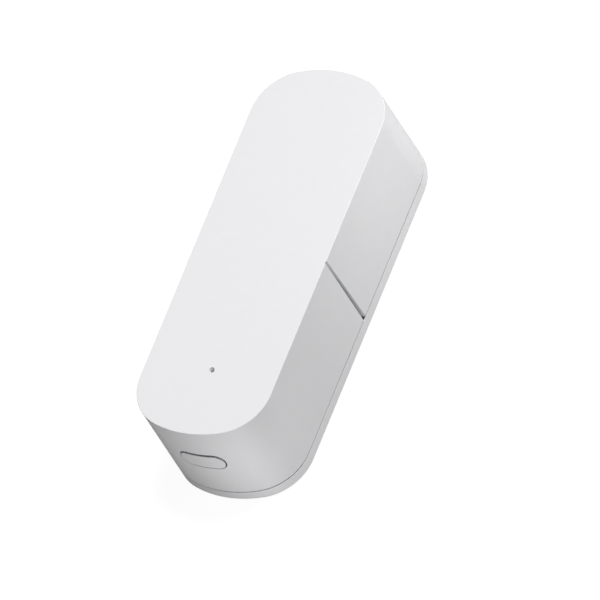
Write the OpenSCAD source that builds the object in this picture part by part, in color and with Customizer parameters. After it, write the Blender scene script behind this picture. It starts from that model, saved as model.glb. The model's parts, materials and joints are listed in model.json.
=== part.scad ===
// Vibration sensor tag: a stick-on housing round two AAA cells, with a side button and an indicator hole.
// X is the width, Y the length with the button at -Y, and Z is up from the surface that the tag sticks to.

/* [Cells] */
// Diameter of a cell
cell_d = 10.5; // [10:0.1:11.5]
// Overall length of a cell, with its nub
cell_l = 44.5; // [42:0.1:50]
// Diameter of a cell's positive nub
nub_d = 3.8; // [3:0.1:5]
// Height of a cell's positive nub
nub_h = 1; // [0.6:0.1:1.5]
// Gap between the two cells
cell_gap = 0.1; // [0.05:0.05:1]
// Room round a cell in its cradle
cell_fit = 0.25; // [0.1:0.05:0.5]
// Length that a contact spring takes up behind a cell
coil_l = 3; // [3:0.1:5]

/* [Case] */
// Thickness of the side wall
wall = 1.4; // [1:0.1:2.2]
// Thickness of the top wall
top_wall = 1.6; // [1:0.1:2.5]
// Room between a cell and the side wall
side_room = 0.55; // [0.5:0.05:1.5]
// Least gap between a cell's end and the rounded corner
cell_room = 0.2; // [0.1:0.05:0.3]
// Radius of the plan's four corners
corner_r = 8.9; // [7.5:0.1:10.5]
// Radius of the plan's two ends
end_r = 20.3; // [18:0.1:30]
// Rounding of the top edge
edge_round = 0.2; // [0.1:0.05:0.8]
// Inside length of the bay behind the button
switch_bay = 16.7; // [16:0.1:22]
// Room over the circuit board
board_room = 3.8; // [3.2:0.1:6]

/* [Back cover] */
// Thickness of the cover's floor
floor_t = 1.5; // [1.2:0.1:2.5]
// Height of the cover's rim
rim_h = 2.1; // [1.8:0.1:3]
// Gap of the seam over the rim
seam_gap = 0.15; // [0.1:0.05:0.4]
// Height of the lip that enters the shell
lip_h = 2; // [1:0.1:2.4]
// Thickness of the lip
lip_t = 0.9; // [0.6:0.1:1.2]
// Gap between lip and shell
lip_fit = 0.15; // [0.1:0.05:0.3]
// Gap between the cover and the lowest point of a cell
cell_lift = 0.65; // [0.5:0.05:1.5]
// Thickness of a saddle rib under the cells
saddle_t = 1.2; // [0.8:0.1:2]
// Distance between saddle ribs
saddle_pitch = 15; // [8:0.5:18]

/* [Adhesive pad] */
// Thickness of the pad
pad_t = 0.8; // [0.6:0.1:1.2]
// Depth of the recess that holds the pad
pad_recess = 0.5; // [0.2:0.1:0.55]
// Distance from the case's outline to the pad's
pad_inset = 3.2; // [2:0.1:5]
// Gap round the pad in its recess
pad_fit = 0.2; // [0.1:0.05:0.4]

/* [Button] */
// Width of the button
button_w = 8.4; // [7:0.1:9.4]
// Height of the button
button_h = 3.6; // [3:0.1:4.2]
// Gap round the button
button_gap = 0.2; // [0.1:0.05:0.3]
// Distance from the board's underside down to the button's centre
button_drop = 2.5; // [2.4:0.1:3]
// How far the button's face lies inside the wall's
button_recess = 0.05; // [0.03:0.01:0.4]
// How far the button presses in
button_travel = 0.3; // [0.2:0.05:0.4]
// Overhang of the flange that keeps the button in
flange_over = 0.7; // [0.4:0.1:0.9]
// Least thickness behind the wall of the button's flange
flange_t = 1.6; // [1.5:0.1:2]

/* [Groove and indicator] */
// Distance of the side groove's steep wall from the middle of the side, towards the button
groove_near = 0.3; // [0:0.05:0.5]
// Width of the side groove at the seam
groove_seam_w = 0.9; // [0.4:0.05:1.2]
// Depth of the side groove at its top
groove_top_d = 0.3; // [0.1:0.05:0.5]
// Depth of the side groove at the seam
groove_seam_d = 0.9; // [0.5:0.05:0.95]
// Diameter of the indicator hole
led_hole_d = 1.1; // [0.8:0.1:2]
// Distance of the indicator hole from the button end
led_inset = 12.6; // [11:0.1:14]
// Diameter of the light pipe
pipe_d = 2.4; // [2.2:0.1:3]

/* [Chassis and board] */
// Thickness of the cradle's roof over the cells
roof_t = 1.1; // [0.8:0.1:2]
// Gap between chassis and shell
chassis_fit = 0.2; // [0.1:0.05:0.4]
// Height over the cells' axis at which the cradle's sides end
cradle_grip = 2.3; // [1.8:0.1:3.5]
// Thickness of the walls that carry the contacts
contact_wall = 1.2; // [1:0.1:1.5]
// Thickness of the circuit board
board_t = 1; // [0.8:0.1:1.6]
// Gap between the board's edge and the shell
board_fit = 0.4; // [0.2:0.1:0.6]
// Thickness of a contact plate
plate_t = 0.3; // [0.2:0.05:0.4]
// Width of a contact plate
plate_w = 7.6; // [6.6:0.1:8]
// Height of a contact plate
plate_h = 6.6; // [6:0.1:7]
// Wire of a contact spring
coil_wire = 0.45; // [0.35:0.05:0.45]
// Diameter of a contact spring at its plate
coil_d = 5; // [5:0.1:5.4]
// Diameter of a contact spring at its cell
coil_tip_d = 2.8; // [2.4:0.1:3]
// Turns of a contact spring
coil_turns = 3; // [2:1:3]
// Diameter of a chassis screw's shank
screw_d = 2; // [1.6:0.1:2.2]
// Diameter of a chassis screw's head
screw_head_d = 3.4; // [3:0.1:3.8]
// Length of a chassis screw's shank
screw_l = 5; // [4:0.1:5.2]

/* [Switches] */
// Width of the button's switch
tact_w = 6.4; // [5.5:0.1:7]
// Depth of the button's switch
tact_d = 3.6; // [3.2:0.1:4.5]
// Diameter of the switch's stem
stem_d = 3.2; // [2.4:0.1:3.4]
// How far the stem stands out of the switch
stem_out = 1; // [0.7:0.1:1.2]
// Outer diameter of the vibration switch
sleeve_d = 5; // [4.6:0.1:5.4]
// Length of the vibration switch's sleeve
sleeve_l = 9.4; // [8.6:0.1:9.6]
// Mean diameter of the vibration spring
whip_d = 2.4; // [2:0.1:2.6]
// Wire of the vibration spring
whip_wire = 0.25; // [0.2:0.05:0.3]
// Turns of the vibration spring
whip_turns = 8; // [4:1:8]
// Rise of the vibration spring in each turn
whip_pitch = 0.75; // [0.72:0.01:0.8]

/* [Hidden] */
$fn = 64;

// A length to the nearest thousandth, so that faces worked out in two ways still meet
function thousandths(v) = round(1000 * v) / 1000;

// Small clearance between pieces that rest on each other, and the overlap of a cut past a face
rest_gap = 0.05;
past = 1;

// Plan of the case: straight sides, corner arcs and end arcs that meet without a kink
cell_x = (cell_d + cell_gap) / 2;
case_w = 2 * (cell_gap / 2 + cell_d + side_room + wall);
corner_x = case_w / 2 - corner_r;
corner_dy = thousandths(sqrt(pow(end_r - corner_r, 2) - pow(corner_x, 2)));
corner_turn = atan2(corner_dy, corner_x);
join_x = thousandths(corner_x + corner_r * cos(corner_turn));
tip_dy = end_r - corner_dy;
// The ends and the straight sides are drawn in by this much, so that they cross the corners
arc_ease = 0.02;
side_ease = 0.02;

// Lengthwise: the switch bay, the cells with their springs, and a far end as near as the corners allow
bay_l = cell_l + coil_l;
corner_in = corner_r - wall;
shoulder_dy = thousandths(sqrt(pow(corner_in, 2) - pow(corner_in - side_room + cell_room, 2)));
case_l = wall + switch_bay + bay_l + tip_dy - shoulder_dy - nub_h;
tip_y = -case_l / 2;
corner_y = case_l / 2 - tip_dy;
arc_y = case_l / 2 - end_r;
near_y = tip_y + wall + switch_bay;
far_y = near_y + bay_l;

// Upwards: pad, cover, cells, cradle, board and top
rim_z = pad_t - pad_recess;
floor_z = rim_z + floor_t;
seam_z = rim_z + rim_h;
lip_z = seam_z + lip_h;
cell_z = floor_z + cell_lift + cell_d / 2;
trough_r = cell_d / 2 + cell_fit;
roof_z = cell_z + trough_r + roof_t;
board_z = roof_z + board_t;
ceiling_z = board_z + board_room;
top_z = ceiling_z + top_wall;
shell_z = seam_z + seam_gap;
button_z = roof_z - button_drop;

// Chassis, screws and board
lip_clear = 0.4;
chassis_inset = wall + chassis_fit;
chassis_w = case_w - 2 * chassis_inset;
wall_foot_z = lip_z + lip_clear;
tab_t = 1.1;
tab_rim = 0.4;
tab_w = screw_head_d + 2 * tab_rim;
tab_edge = 0.9;
screw_x = chassis_w / 2 - tab_w / 2 - tab_edge;
screw_y = near_y - contact_wall - tab_w / 2;
screw_head_h = 1.2;
drive_w = 0.6 * screw_head_d;
drive_t = 0.25 * screw_d;
pilot_gap = 0.05;
pilot_d = screw_d + 2 * pilot_gap;
pilot_spare = 0.4;
pilot_l = screw_l - tab_t + pilot_spare;
boss_wall = 0.8;
boss_d = pilot_d + 2 * boss_wall;
boss_fit = 0.15;
shoulder_d = boss_d + 2 * boss_wall;
board_inset = 4.5;
board_near_y = tip_y + board_inset;
board_past = 0.7;
board_far_y = far_y + board_past;
tongue_w = 6;
tongue_l = 2.4;
ledge_t = 1.1;
ledge_gap = 1;
ledge_z = roof_z - tab_t - rest_gap;

// Contacts
tail_w = 2;
tail_over = 0.8;
plate_z = wall_foot_z;

// Cells: rounding of a can's rims and the depth of its flat end's dish
can_round = 0.5;
end_dish = 0.25;

// Indicator
led_y = tip_y + led_inset;
led_size = [1.6, 0.8, 0.6];
pipe_l = 2.2;
collar_t = 0.8;
pipe_fit = 0.05;

// Button switch
tact_inset = 4.9;
tact_front_y = tip_y + tact_inset;
tact_below = 2.5;
stem_run = 0.05;
stem_back = 1.4;
stem_spare = 0.4;
stem_flange_t = 0.5;
stem_flange_d = stem_d + 1.2;
plunger_d = 2.6;
flange_back_y = tip_y + wall + flange_t;

// Vibration switch, hung from the underside of the board
vib_side = 4.2;
vib_x = case_w / 2 - wall - vib_side;
vib_inset = 8.7;
vib_y = tip_y + vib_inset;
vib_base_h = 1.5;
vib_fit = 0.05;
sleeve_t = 0.25;
sleeve_drop = 0.3;
sleeve_top_z = roof_z - sleeve_drop;
lead_d = 0.6;
lead_over = 0.7;
whip_gap = 0.25;
whip_root_z = roof_z - vib_base_h - whip_gap - whip_wire / 2;
pin_over = 0.6;
pin_l = whip_turns * whip_pitch + pin_over;

// Radio section on the board
radio_gap = 13;
radio_y = led_y + radio_gap;
shield_size = [13, 11, 2.2];
shield_t = 0.2;
chip_size = [6, 6, 0.9];
chip_x = -1;
crystal_size = [2, 2.5, 0.8];
crystal_x = 4.2;

// Printed aerial
trace_w = 0.6;
trace_t = 0.1;
trace_pitch = 1.5;
trace_runs = 8;
trace_reach = 3.4;
trace_edge = 0.8;

// Rows of chip components
passive_size = [1, 0.5, 0.45];
passive_cols = 6;
passive_rows = 3;
passive_pitch = 2.2;
passive_y = radio_y + shield_size[1] / 2 + 1.5;

// Rings in each turn of a coil and sides of its wire
coil_rings = 8;
coil_sides = 6;

// Pill outline with fully round ends
module pill(w, h) {
    square([w - h, h], center = true);
    for (side = [-1, 1])
        translate([side * (w - h) / 2, 0])
            circle(d = h);
}

// A pill standing across the button's axis, from one Y to another
module pill_block(w, h, y0, y1) {
    translate([0, y1, button_z])
        rotate([90, 0, 0])
            linear_extrude(y1 - y0)
                pill(w, h);
}

// Plan of the case, drawn in all round by inset
module case_plan(inset) {
    square([case_w - 2 * inset, 2 * corner_y], center = true);
    for (side = [-1, 1])
        for (end = [-1, 1])
            translate([side * corner_x, end * corner_y])
                circle(r = corner_r - inset);
    for (end = [-1, 1])
        intersection() {
            translate([0, end * arc_y])
                circle(r = end_r - arc_ease - inset);
            translate([0, end * case_l / 2])
                square([2 * join_x - inset, case_l], center = true);
        }
}

// Upright solid on the case's plan
module case_body(inset, z0, z1) {
    translate([0, 0, z0])
        linear_extrude(z1 - z0)
            case_plan(inset);
}

// Section from an axis out to r, between two heights, with its top edge rounded
module rounded_section(r, z0, z1) {
    translate([0, z0])
        square([r - edge_round, z1 - z0]);
    translate([0, z0])
        square([r, z1 - z0 - edge_round]);
    translate([r - edge_round, z1 - edge_round])
        circle(r = edge_round);
}

// Disc with a rounded top edge
module rounded_disc(x, y, r, z0, z1) {
    translate([x, y, 0])
        rotate_extrude()
            rounded_section(r, z0, z1);
}

// Solid on the case's plan with its top edge rounded all round
module rounded_body(z0, z1) {
    for (turn = [0, 180])
        rotate(turn) {
            translate([0, corner_y, 0])
                rotate([90, 0, 0])
                    linear_extrude(2 * corner_y)
                        rounded_section(case_w / 2 - side_ease, z0, z1);
            for (side = [-1, 1])
                rounded_disc(side * corner_x, corner_y, corner_r, z0, z1);
            intersection() {
                rounded_disc(0, arc_y, end_r - arc_ease, z0, z1);
                block([-join_x, 0, z0 - past], [join_x, case_l, z1 + past]);
            }
        }
}

// Block between two corners
module block(low, high) {
    translate(low)
        cube(high - low);
}

// Cylinder along Y from one Y to another
module rod_y(d, x, y0, y1, z) {
    translate([x, y1, z])
        rotate([90, 0, 0])
            cylinder(d = d, h = y1 - y0);
}

// Groove down the +X side: a steep wall and a sloping one, which meet in a line that leans out to the top
module side_groove() {
    lean = atan((groove_seam_d - groove_top_d) / (top_z - shell_z));
    reach = groove_seam_d + past;
    translate([case_w / 2 - groove_seam_d, -groove_near, shell_z])
        rotate([0, lean, 0])
            translate([0, 0, -past])
                linear_extrude(top_z - shell_z + 3 * past)
                    polygon([[0, 0], [reach, 0], [reach, groove_seam_w * reach / groove_seam_d]]);
}

// Boss for a chassis screw: a shoulder that holds the board down and a spigot through it
module screw_boss(x) {
    translate([x, screw_y, board_z])
        cylinder(d = shoulder_d, h = ceiling_z + past / 2 - board_z);
    translate([x, screw_y, roof_z])
        cylinder(d = boss_d, h = ceiling_z - roof_z);
}

// Housing: top, walls, screw bosses, collar for the light pipe and the ledge that holds the chassis's tongue
module front_shell() {
    color([0.93, 0.93, 0.94])
    difference() {
        union() {
            difference() {
                rounded_body(shell_z, top_z);
                case_body(wall, shell_z - past, ceiling_z);
            }
            for (x = [-screw_x, screw_x])
                screw_boss(x);
            translate([0, led_y, ceiling_z - pipe_l])
                cylinder(d = pipe_d + 2 * (pipe_fit + collar_t), h = pipe_l + past / 2);
            intersection() {
                case_body(wall / 2, ledge_z - ledge_t, ledge_z);
                block([-tongue_w / 2, far_y + contact_wall + ledge_gap, 0],
                      [tongue_w / 2, case_l / 2, top_z]);
            }
        }
        for (x = [-screw_x, screw_x])
            translate([x, screw_y, roof_z - past])
                cylinder(d = pilot_d, h = past + pilot_l);
        translate([0, led_y, ceiling_z - pipe_l - past])
            cylinder(d = pipe_d + 2 * pipe_fit, h = pipe_l + past);
        translate([0, led_y, ceiling_z - past])
            cylinder(d = led_hole_d, h = top_wall + 2 * past);
        pill_block(button_w + 2 * button_gap, button_h + 2 * button_gap, tip_y - past, flange_back_y);
        side_groove();
    }
}

// Saddle ribs across the cover, hollowed for the cells
module saddle_ribs() {
    reach = cell_x + cell_d / 3;
    difference() {
        for (i = [-1, 0, 1])
            translate([0, (near_y + far_y) / 2 + i * saddle_pitch, 0])
                block([-reach, -saddle_t / 2, floor_z - past / 2], [reach, saddle_t / 2, lip_z]);
        for (x = [-cell_x, cell_x])
            rod_y(cell_d + 2 * cell_fit, x, near_y - past, far_y + past, cell_z);
    }
}

// Back cover: floor, rim, locating lip, saddle ribs and the recess for the pad
module back_cover() {
    color([0.91, 0.91, 0.92])
    difference() {
        union() {
            difference() {
                union() {
                    case_body(0, rim_z, seam_z);
                    case_body(wall + lip_fit, seam_z, lip_z);
                }
                case_body(wall + lip_fit + lip_t, floor_z, lip_z + past);
            }
            saddle_ribs();
        }
        case_body(pad_inset - pad_fit, rim_z - past, rim_z + pad_recess);
    }
}

module adhesive_pad() {
    color([0.82, 0.83, 0.84])
    case_body(pad_inset, 0, pad_t);
}

// Button: pill-shaped cap, flange behind the wall and a plunger to the switch's stem
module side_button() {
    color([0.92, 0.92, 0.93])
    union() {
        intersection() {
            pill_block(button_w, button_h, tip_y - past, flange_back_y);
            translate([0, -arc_y, 0])
                cylinder(r = end_r - button_recess, h = top_z);
        }
        intersection() {
            pill_block(button_w + 2 * flange_over + 2 * button_gap, button_h + 2 * flange_over,
                       tip_y, flange_back_y);
            translate([0, -arc_y, 0])
                cylinder(r = end_r - wall - 2 * rest_gap, h = top_z);
        }
        rod_y(plunger_d, 0, flange_back_y - past / 2, tact_front_y - stem_out - rest_gap, button_z);
    }
}

module light_pipe() {
    color([0.75, 0.78, 0.8])
    translate([0, led_y, ceiling_z - pipe_l])
        cylinder(d = pipe_d, h = pipe_l);
}

// Pocket in a contact wall for a plate, open at the wall's foot
module plate_pocket(x, w, face_y, into) {
    y_in = face_y + into * (plate_t + rest_gap);
    block([x - w / 2 - rest_gap, min(face_y, y_in) - (into < 0 ? 0 : past), plate_z - past],
          [x + w / 2 + rest_gap, max(face_y, y_in) + (into < 0 ? past : 0), plate_z + plate_h + rest_gap]);
}

// Slot for a contact's tail, up through the roof
module tail_slot(x) {
    block([x - tail_w / 2 - rest_gap, near_y - plate_t - rest_gap, plate_z],
          [x + tail_w / 2 + rest_gap, near_y + past, board_z + past]);
}

// Chassis: a cradle over the cells with contact walls, screw tabs and a tongue at the far end
module chassis() {
    color([0.85, 0.86, 0.87])
    difference() {
        union() {
            intersection() {
                case_body(chassis_inset, wall_foot_z, roof_z);
                union() {
                    block([-case_w, near_y - contact_wall, cell_z + cradle_grip],
                          [case_w, far_y + contact_wall, roof_z + past]);
                    block([-case_w, near_y - contact_wall, 0], [case_w, near_y, top_z]);
                    block([-case_w, far_y, 0], [case_w, far_y + contact_wall, top_z]);
                }
            }
            for (x = [-screw_x, screw_x])
                block([x - tab_w / 2, near_y - contact_wall - tab_w, roof_z - tab_t],
                      [x + tab_w / 2, near_y - contact_wall / 2, roof_z]);
            block([-tongue_w / 2 + chassis_fit, far_y + contact_wall / 2, roof_z - tab_t],
                  [tongue_w / 2 - chassis_fit, far_y + contact_wall + tongue_l, roof_z]);
        }
        for (x = [-cell_x, cell_x])
            rod_y(2 * trough_r, x, near_y, far_y, cell_z);
        for (x = [-screw_x, screw_x])
            translate([x, screw_y, roof_z - tab_t - past])
                cylinder(d = pilot_d, h = tab_t + 2 * past);
        for (x = [-cell_x, cell_x]) {
            plate_pocket(x, plate_w, near_y, -1);
            tail_slot(x);
        }
        plate_pocket(0, 2 * cell_x + plate_w, far_y, 1);
    }
}

module chassis_screws() {
    color([0.7, 0.7, 0.72])
    for (x = [-screw_x, screw_x])
        translate([x, screw_y, roof_z - tab_t])
            difference() {
                union() {
                    cylinder(d = screw_d, h = screw_l);
                    translate([0, 0, -screw_head_h])
                        cylinder(d = screw_head_d, h = screw_head_h);
                }
                for (turn = [0, 90])
                    rotate(turn)
                        translate([0, 0, -screw_head_h])
                            cube([drive_w, drive_t, screw_head_h], center = true);
            }
}

// Circuit board, cut square at both ends, with holes for bosses, tails and the vibration switch's leads
module main_board() {
    color([0.12, 0.42, 0.24])
    difference() {
        intersection() {
            case_body(wall + board_fit, roof_z, board_z);
            block([-case_w, board_near_y, 0], [case_w, board_far_y, top_z]);
        }
        for (x = [-screw_x, screw_x])
            translate([x, screw_y, roof_z - past])
                cylinder(d = boss_d + 2 * boss_fit, h = board_t + 2 * past);
        for (x = [-cell_x, cell_x])
            tail_slot(x);
        for (x = [vib_x, vib_x + whip_d / 2])
            translate([x, vib_y, roof_z - past])
                cylinder(d = lead_d + 2 * vib_fit, h = board_t + 2 * past);
    }
}

module shield_can() {
    color([0.72, 0.73, 0.75])
    translate([0, radio_y, board_z])
        difference() {
            translate([0, 0, shield_size[2] / 2])
                cube(shield_size, center = true);
            translate([0, 0, shield_size[2] / 2 - shield_t])
                cube(shield_size - [2 * shield_t, 2 * shield_t, 0], center = true);
        }
}

module radio_chip() {
    color([0.12, 0.12, 0.13])
    translate([chip_x, radio_y, board_z + chip_size[2] / 2])
        cube(chip_size, center = true);
}

module crystal() {
    color([0.78, 0.78, 0.76])
    translate([crystal_x, radio_y, board_z + crystal_size[2] / 2])
        cube(crystal_size, center = true);
}

// Printed aerial: a meander of copper at the button end of the board
module antenna_trace() {
    color([0.75, 0.5, 0.3])
    translate([-(trace_runs - 1) * trace_pitch / 2, board_near_y + trace_edge, board_z])
        for (i = [0 : trace_runs - 1])
            translate([i * trace_pitch, 0, 0]) {
                translate([-trace_w / 2, 0, 0])
                    cube([trace_w, trace_reach, trace_t]);
                if (i < trace_runs - 1)
                    translate([-trace_w / 2, i % 2 == 0 ? 0 : trace_reach - trace_w, 0])
                        cube([trace_pitch + trace_w, trace_w, trace_t]);
            }
}

module status_led() {
    color([0.95, 0.9, 0.7])
    translate([0, led_y, board_z + led_size[2] / 2])
        cube(led_size, center = true);
}

// Rows of chip components beyond the shield can
module board_passives() {
    color([0.6, 0.5, 0.38])
    for (col = [0 : passive_cols - 1])
        for (row = [0 : passive_rows - 1])
            translate([(col - (passive_cols - 1) / 2) * passive_pitch,
                       passive_y + row * passive_pitch,
                       board_z + passive_size[2] / 2])
                rotate((col + row) % 2 * 90)
                    cube(passive_size, center = true);
}

// Switch behind the button, hung from the underside of the board
module tact_switch() {
    color([0.15, 0.15, 0.16])
    difference() {
        block([-tact_w / 2, tact_front_y, button_z - tact_below],
              [tact_w / 2, tact_front_y + tact_d, roof_z]);
        rod_y(stem_d + 2 * stem_run, 0, tact_front_y - past, tact_front_y + past, button_z);
        rod_y(stem_flange_d + 4 * stem_run, 0, tact_front_y + stem_back - stem_flange_t - 2 * stem_run,
              tact_front_y + stem_back + button_travel + stem_spare, button_z);
    }
}

module tact_stem() {
    color([0.2, 0.2, 0.21])
    union() {
        rod_y(stem_d, 0, tact_front_y - stem_out, tact_front_y + stem_back, button_z);
        rod_y(stem_flange_d, 0, tact_front_y + stem_back - stem_flange_t, tact_front_y + stem_back, button_z);
    }
}

module vibration_sleeve() {
    color([0.78, 0.78, 0.8])
    translate([vib_x, vib_y, sleeve_top_z - sleeve_l])
        difference() {
            cylinder(d = sleeve_d, h = sleeve_l);
            translate([0, 0, sleeve_t])
                cylinder(d = sleeve_d - 2 * sleeve_t, h = sleeve_l);
        }
}

module vibration_base() {
    color([0.2, 0.2, 0.22])
    translate([vib_x, vib_y, roof_z - vib_base_h])
        difference() {
            cylinder(d = sleeve_d - 2 * sleeve_t - 2 * vib_fit, h = vib_base_h);
            for (x = [0, whip_d / 2])
                translate([x, 0, -past])
                    cylinder(d = lead_d + 2 * vib_fit, h = vib_base_h + 2 * past);
        }
}

// Centre pin and the spring's own lead, both up through the board
module vibration_leads() {
    color([0.85, 0.75, 0.45])
    union() {
        translate([vib_x, vib_y, roof_z - vib_base_h - pin_l])
            cylinder(d = lead_d, h = pin_l + vib_base_h + board_t + lead_over);
        translate([vib_x + whip_d / 2, vib_y, roof_z - vib_base_h])
            cylinder(d = lead_d, h = vib_base_h + board_t + lead_over);
    }
}

// Coil of round wire up the Z axis, its radius easing from r0 to r1
function coil_centre(r0, r1, rise, turns, i) =
    let (t = i / (turns * coil_rings), r = r0 + (r1 - r0) * t, a = 360 * i / coil_rings)
    [r * cos(a), r * sin(a), rise * t];

function coil_point(r0, r1, rise, turns, wire, i, j) =
    let (c = coil_centre(r0, r1, rise, turns, i), a = 360 * i / coil_rings, b = 360 * j / coil_sides)
    c + wire / 2 * [cos(b) * cos(a), cos(b) * sin(a), sin(b)];

// Least clear distance between turns, measured on the wire's centre points
function coil_clear(r0, r1, rise, turns, wire) =
    let (last = turns * coil_rings)
    min([
        for (i = [0 : last])
            for (j = [i + coil_rings - 2 : 1 : last])
                norm(coil_centre(r0, r1, rise, turns, i) - coil_centre(r0, r1, rise, turns, j))
    ]) - wire;

module coil(r0, r1, rise, turns, wire) {
    last = turns * coil_rings;
    points = [
        for (i = [0 : last])
            for (j = [0 : coil_sides - 1])
                coil_point(r0, r1, rise, turns, wire, i, j)
    ];
    sides = [
        for (i = [0 : last - 1])
            for (j = [0 : coil_sides - 1])
                let (k = (j + 1) % coil_sides, a = i * coil_sides, b = a + coil_sides)
                each [[a + j, a + k, b + k], [a + j, b + k, b + j]]
    ];
    ends = [
        for (j = [1 : coil_sides - 2])
            each [[0, j + 1, j], [last * coil_sides, last * coil_sides + j, last * coil_sides + j + 1]]
    ];
    polyhedron(points, concat(sides, ends));
}

module vibration_spring() {
    rise = whip_turns * whip_pitch;
    echo(vibration_spring_gap = coil_clear(whip_d / 2, whip_d / 2, rise, whip_turns, whip_wire));
    color([0.8, 0.8, 0.82])
    translate([vib_x, vib_y, whip_root_z])
        rotate([180, 0, 0])
            coil(whip_d / 2, whip_d / 2, rise, whip_turns, whip_wire);
}

// Contact spring: wide at its plate and narrow at the cell's flat end
module contact_spring() {
    rise = coil_l - coil_wire - 2 * rest_gap;
    echo(contact_spring_gap = coil_clear(coil_d / 2, coil_tip_d / 2, rise, coil_turns, coil_wire));
    translate([0, 0, rest_gap + coil_wire / 2])
        coil(coil_d / 2, coil_tip_d / 2, rise, coil_turns, coil_wire);
}

module contact_spring_a() {
    color([0.78, 0.78, 0.8])
    translate([-cell_x, near_y, cell_z])
        rotate([-90, 0, 0])
            contact_spring();
}

module contact_spring_b() {
    color([0.78, 0.78, 0.8])
    translate([cell_x, far_y, cell_z])
        rotate([90, 0, 0])
            contact_spring();
}

// Cell along +Z from its flat end, with a rounded can and a positive nub
module cell() {
    can_l = cell_l - nub_h;
    rotate_extrude()
        difference() {
            union() {
                square([cell_d / 2 - can_round, can_l]);
                translate([0, can_round])
                    square([cell_d / 2, can_l - 2 * can_round]);
                for (z = [can_round, can_l - can_round])
                    translate([cell_d / 2 - can_round, z])
                        circle(r = can_round);
                translate([0, can_l - past])
                    square([nub_d / 2, nub_h + past]);
            }
            square([cell_d / 2 - 2 * can_round, 2 * end_dish], center = true);
        }
}

module battery_cell_a() {
    color([0.2, 0.35, 0.6])
    translate([-cell_x, far_y - cell_l, cell_z])
        rotate([-90, 0, 0])
            cell();
}

module battery_cell_b() {
    color([0.2, 0.35, 0.6])
    translate([cell_x, near_y + cell_l, cell_z])
        rotate([90, 0, 0])
            cell();
}

// Contact plate in its pocket, with a tail up through the board
module tailed_plate(x) {
    block([x - plate_w / 2, near_y - plate_t, plate_z], [x + plate_w / 2, near_y, plate_z + plate_h]);
    block([x - tail_w / 2, near_y - plate_t, plate_z + plate_h / 2],
          [x + tail_w / 2, near_y, board_z + tail_over]);
}

module contact_positive() {
    color([0.8, 0.8, 0.78])
    tailed_plate(cell_x);
}

module contact_negative() {
    color([0.8, 0.8, 0.78])
    tailed_plate(-cell_x);
}

module contact_bridge() {
    color([0.8, 0.8, 0.78])
    block([-cell_x - plate_w / 2, far_y, plate_z],
          [cell_x + plate_w / 2, far_y + plate_t, plate_z + plate_h]);
}

front_shell();
back_cover();
adhesive_pad();
side_button();
light_pipe();
chassis();
chassis_screws();
main_board();
shield_can();
radio_chip();
crystal();
antenna_trace();
status_led();
board_passives();
tact_switch();
tact_stem();
vibration_sleeve();
vibration_base();
vibration_leads();
vibration_spring();
battery_cell_a();
battery_cell_b();
contact_positive();
contact_negative();
contact_bridge();
contact_spring_a();
contact_spring_b();
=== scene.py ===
"""Looks of the vibration sensor tag: moulded shells, procedural materials, studio light and camera."""
import json
import math
from collections import namedtuple

import bmesh
import bpy
from mathutils import Matrix, Vector


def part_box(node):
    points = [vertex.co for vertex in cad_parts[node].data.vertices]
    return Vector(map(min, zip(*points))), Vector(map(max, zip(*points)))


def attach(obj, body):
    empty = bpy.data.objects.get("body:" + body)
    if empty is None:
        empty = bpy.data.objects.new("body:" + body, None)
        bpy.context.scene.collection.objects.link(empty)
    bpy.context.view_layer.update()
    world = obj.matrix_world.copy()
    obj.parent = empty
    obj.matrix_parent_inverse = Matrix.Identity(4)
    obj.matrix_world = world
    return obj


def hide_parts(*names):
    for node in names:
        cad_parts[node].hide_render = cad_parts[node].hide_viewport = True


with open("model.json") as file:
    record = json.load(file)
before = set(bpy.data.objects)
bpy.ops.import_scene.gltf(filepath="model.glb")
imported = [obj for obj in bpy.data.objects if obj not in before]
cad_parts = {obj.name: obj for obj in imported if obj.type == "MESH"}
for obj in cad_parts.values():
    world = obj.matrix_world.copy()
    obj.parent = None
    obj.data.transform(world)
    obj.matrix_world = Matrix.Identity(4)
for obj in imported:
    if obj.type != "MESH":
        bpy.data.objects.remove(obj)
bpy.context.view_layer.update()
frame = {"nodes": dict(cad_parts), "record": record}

MM = 0.001


def node_box(name):
    """Low and high corner of a CAD node in millimetres."""
    return tuple(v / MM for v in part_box(name))


# Places in millimetres, taken from the frame
shell_low, shell_high = node_box("front_shell")
cover_low, cover_high = node_box("back_cover")
pad_low, pad_high = node_box("adhesive_pad")
pipe_low, pipe_high = node_box("light_pipe")
button_low, button_high = node_box("side_button")
board_low, board_high = node_box("main_board")
screw_low, screw_high = node_box("chassis_screws")
cell_low, cell_high = node_box("battery_cell_b")
sleeve_low, sleeve_high = node_box("vibration_sleeve")
whip_low, whip_high = node_box("vibration_spring")
near_y = node_box("contact_negative")[1].y
far_y = node_box("contact_bridge")[0].y
shell_z = shell_low.z
top_z = shell_high.z
rim_z = cover_low.z
lip_z = cover_high.z
roof_z = board_low.z
board_z = board_high.z
ceiling_z = pipe_high.z
button_z = (button_low.z + button_high.z) / 2
led_y = (pipe_low.y + pipe_high.y) / 2
cell_x = (cell_low.x + cell_high.x) / 2
cell_z = (cell_low.z + cell_high.z) / 2
screw_y = (screw_low.y + screw_high.y) / 2
sleeve_x = (sleeve_low.x + sleeve_high.x) / 2
sleeve_y = (sleeve_low.y + sleeve_high.y) / 2

# Steps that round shapes are drawn in
ARC_STEP = math.radians(2)
SIDE_STEPS = 36
PILL_STEPS = 20
FACE_RINGS = 6
FILLET_STEPS = 6
RIM_STEPS = 5
CELL_STEPS = 72
CUP_STEPS = 56
ROD_STEPS = 48
SMALL_STEPS = 40
WIRE_SIDES = 12
WIRE_STEPS = 32

# Sizes are in millimetres unless a comment says otherwise.
# How far cutters go past what they cut, their rounded mouths stand proud, and joined pieces are sunk in
past = 1
skin = 0.004
sink = 0.5

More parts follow.
